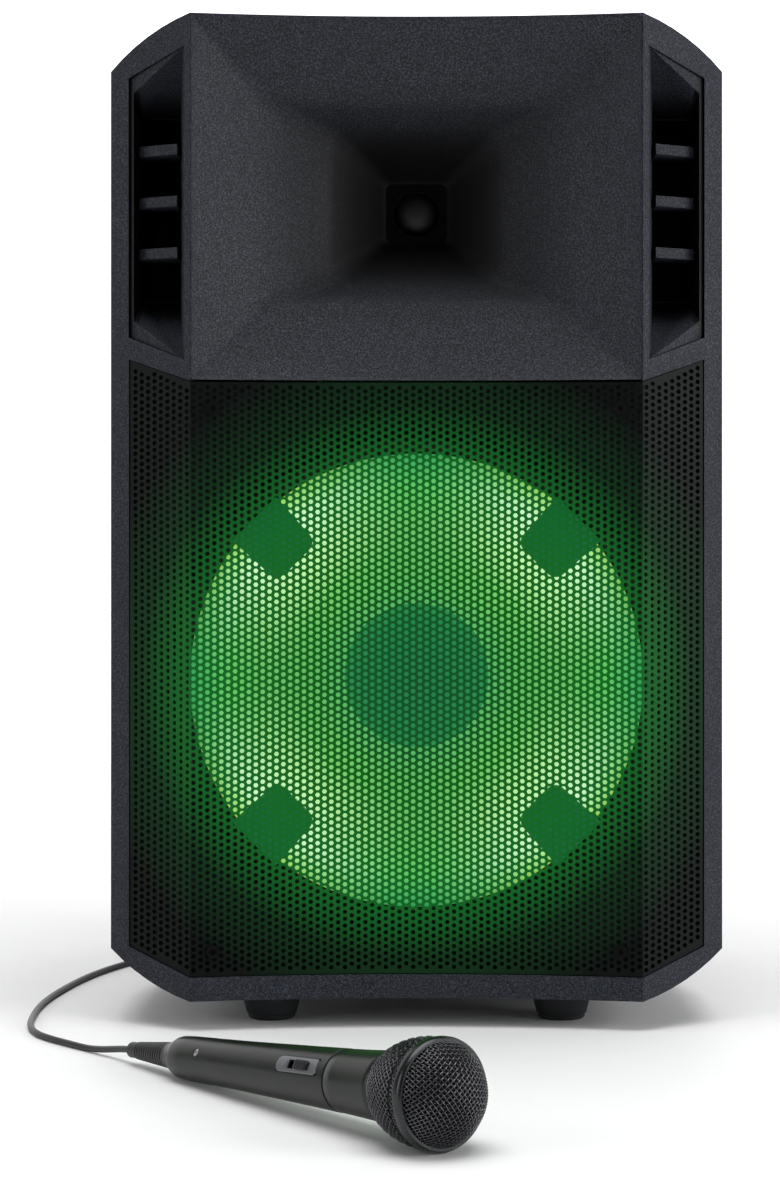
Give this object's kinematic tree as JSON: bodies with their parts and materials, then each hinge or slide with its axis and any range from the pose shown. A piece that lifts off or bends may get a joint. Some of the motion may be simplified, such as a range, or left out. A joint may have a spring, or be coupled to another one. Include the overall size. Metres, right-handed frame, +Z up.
{
  "type": "party speaker",
  "caption": "Tall party speaker with a dished front, a rectangular horn over a lit woofer behind a perforated grille, and a wired microphone.",
  "frame": {"origin": "centre of the pole socket's mouth, in the underside of the cabinet, 16 mm above the floor", "axes": "+Z up along the pole socket, front of the speaker towards -Y, +X to the right seen from the front"},
  "size_m": [0.3752, 0.6659, 0.54],
  "materials": {
    "housing": "fine moulded texture",
    "grille": "satin black, perforated",
    "black_screw": "black oxide",
    "steel": "zinc plated",
    "vent": "moulded",
    "rubberised": "soft touch",
    "foot": "matt",
    "basket": "powder coated",
    "surround": "matt",
    "cone": "coated pulp, lit green",
    "dust_cap": "satin, lit green",
    "coil_wire": "enamelled copper wire",
    "spider": "resin-dipped cloth",
    "ferrite": "matt ferrite",
    "light": "diffuser, lit green",
    "pod": "moulded, lit green at its sides",
    "diaphragm": "satin",
    "board": "solder mask",
    "heat_sink": "extruded",
    "battery": "shrink wrap",
    "panel": "fine texture",
    "knob": "satin",
    "button": "satin",
    "rocker": "gloss",
    "mic_body": "satin",
    "mic_mesh": "black wire mesh",
    "mic_band": "dark satin band",
    "capsule": "satin",
    "switch_plate": "satin",
    "slider": "satin",
    "cord": "satin PVC",
    "plug": "moulded plug with nickel tip"
  },
  "bodies": {
    "cabinet": {"front_housing": "housing", "rear_housing": "housing", "housing_screws": "steel", "grille": "grille", "grille_screws": "black_screw", "horn_waveguide": "housing", "vent_left": "vent", "vent_right": "vent", "carry_handle": "rubberised", "handle_screws": "steel", "foot_front_left": "foot", "foot_front_right": "foot", "foot_rear_left": "foot", "foot_rear_right": "foot", "pole_socket": "steel", "woofer_basket": "basket", "woofer_screws": "black_screw", "woofer_top_plate": "steel", "woofer_magnet": "ferrite", "woofer_yoke": "steel", "led_ring": "light", "led_pods": "pod", "tweeter_body": "basket", "tweeter_diaphragm": "diaphragm", "tweeter_screws": "steel", "amplifier_board": "board", "heat_sink": "heat_sink", "power_supply": "board", "battery_pack": "battery", "control_panel": "panel", "panel_screws": "steel", "jack_sockets": "steel", "usb_port": "steel", "power_inlet": "panel", "mic_cord": "cord", "mic_cord_rear": "cord", "mic_cord_coil": "cord", "mic_plug": "plug"},
    "woofer_moving": {"woofer_cone": "cone", "dust_cap": "dust_cap", "voice_coil": "coil_wire", "woofer_surround": "surround", "spider": "spider"},
    "volume": {"volume_knob": "knob"},
    "mic_volume": {"mic_volume_knob": "knob"},
    "echo": {"echo_knob": "knob"},
    "previous": {"previous_button": "button"},
    "play": {"play_button": "button"},
    "next": {"next_button": "button"},
    "light": {"light_button": "button"},
    "rocker": {"power_rocker": "rocker"},
    "microphone": {"mic_handle": "mic_body", "mic_collar": "mic_body", "mic_grille": "mic_mesh", "mic_grille_band": "mic_band", "mic_capsule": "capsule", "mic_switch_plate": "switch_plate", "mic_plate_screw": "steel", "mic_cable_boot": "cord"},
    "mic_slider": {"mic_switch_slider": "slider"}
  },
  "joints": [
    {"name": "woofer_travel", "type": "slide", "parent": "cabinet", "child": "woofer_moving", "axis": [0, -1, 0], "range_m": [-0.005, 0.005], "stiffness_N_per_m": 3000, "deforming": ["woofer_surround", "spider"]},
    {"name": "mic_volume_turn", "type": "hinge", "parent": "cabinet", "child": "mic_volume", "pos_m": [-0.048, 0.144, 0.392], "axis": [0, 1, 0], "range_deg": [-140, 140]},
    {"name": "volume_turn", "type": "hinge", "parent": "cabinet", "child": "volume", "pos_m": [0, 0.144, 0.392], "axis": [0, 1, 0], "range_deg": [-140, 140]},
    {"name": "echo_turn", "type": "hinge", "parent": "cabinet", "child": "echo", "pos_m": [0.048, 0.144, 0.392], "axis": [0, 1, 0], "range_deg": [-140, 140]},
    {"name": "light_press", "type": "slide", "parent": "cabinet", "child": "light", "axis": [0, -1, 0], "range_m": [0, 0.0015], "stiffness_N_per_m": 800},
    {"name": "next_press", "type": "slide", "parent": "cabinet", "child": "next", "axis": [0, -1, 0], "range_m": [0, 0.0015], "stiffness_N_per_m": 800},
    {"name": "play_press", "type": "slide", "parent": "cabinet", "child": "play", "axis": [0, -1, 0], "range_m": [0, 0.0015], "stiffness_N_per_m": 800},
    {"name": "previous_press", "type": "slide", "parent": "cabinet", "child": "previous", "axis": [0, -1, 0], "range_m": [0, 0.0015], "stiffness_N_per_m": 800},
    {"name": "power_rock", "type": "hinge", "parent": "cabinet", "child": "rocker", "pos_m": [0.058, 0.143, 0.232], "axis": [1, 0, 0], "range_deg": [-14, 0]},
    {"name": "mic_lift", "type": "slide", "parent": "cabinet", "child": "microphone", "axis": [0, 0, 1], "range_m": [0, 0.2]},
    {"name": "mic_switch", "type": "slide", "parent": "microphone", "child": "mic_slider", "axis": [0.6181, -0.7827, 0.0728], "range_m": [-0.005, 0]}
  ]
}
